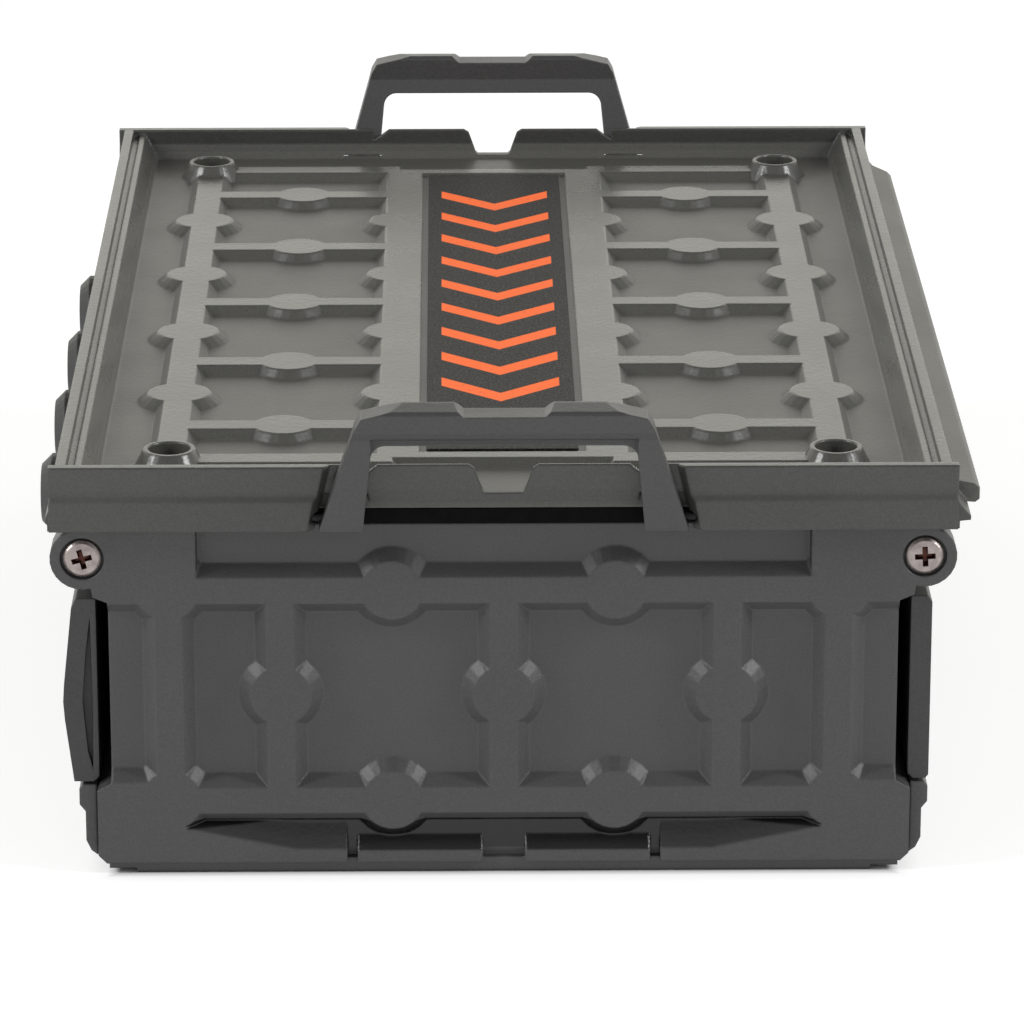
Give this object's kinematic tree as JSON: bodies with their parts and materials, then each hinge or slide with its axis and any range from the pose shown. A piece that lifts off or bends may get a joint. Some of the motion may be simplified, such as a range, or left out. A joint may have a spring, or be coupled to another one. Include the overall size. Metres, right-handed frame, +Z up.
{
  "type": "stackable storage box",
  "caption": "Rigid moulded storage box with a hinged tray lid, folding end handles and side latch doors, ribbed so that boxes stack.",
  "frame": {"origin": "middle of the footprint at the underside of the base plinth", "axes": "+X across the width towards the lid-hinge side, +Y along the length from the front end to the rear end, +Z up"},
  "size_m": [0.2263, 0.3456, 0.1217],
  "materials": {
    "moulded_shell": "dark grey, fine moulded grain",
    "moulded_lid": "dark grey, fine moulded grain",
    "moulded_door": "near-black, fine moulded grain",
    "moulded_handle": "dark grey, satin",
    "gasket_rubber": "matt",
    "label_film": "matt printed film",
    "stainless_steel": "stainless, lightly worn"
  },
  "bodies": {
    "tub": {"tub": "moulded_shell", "left_side_rail": "moulded_shell", "right_side_rail": "moulded_shell", "left_hinge_rod": "stainless_steel", "right_hinge_rod": "stainless_steel", "front_left_screw": "stainless_steel", "front_right_screw": "stainless_steel", "rear_left_screw": "stainless_steel", "rear_right_screw": "stainless_steel"},
    "lid": {"lid": "moulded_lid", "lid_gasket": "gasket_rubber", "label_plate": "label_film", "front_left_handle_pin": "stainless_steel", "front_right_handle_pin": "stainless_steel", "rear_left_handle_pin": "stainless_steel", "rear_right_handle_pin": "stainless_steel"},
    "left_door": {"left_door": "moulded_door"},
    "right_door": {"right_door": "moulded_door"},
    "front_handle": {"front_handle": "moulded_handle"},
    "rear_handle": {"rear_handle": "moulded_handle"}
  },
  "joints": [
    {"name": "lid_hinge", "type": "hinge", "parent": "tub", "child": "lid", "pos_m": [0.0993, 0, 0.0796], "axis": [0, 1, 0], "range_deg": [0, 92]},
    {"name": "left_door_hinge", "type": "hinge", "parent": "tub", "child": "left_door", "pos_m": [-0.0993, 0, 0.0796], "axis": [0, 1, 0], "range_deg": [0, 30]},
    {"name": "right_door_hinge", "type": "hinge", "parent": "tub", "child": "right_door", "pos_m": [0.0993, 0, 0.0796], "axis": [0, -1, 0], "range_deg": [0, 22]},
    {"name": "front_handle_hinge", "type": "hinge", "parent": "lid", "child": "front_handle", "pos_m": [0, -0.1563, 0.0905], "axis": [1, 0, 0], "range_deg": [0, 45]},
    {"name": "rear_handle_hinge", "type": "hinge", "parent": "lid", "child": "rear_handle", "pos_m": [0, 0.1563, 0.0905], "axis": [-1, 0, 0], "range_deg": [0, 45]}
  ]
}
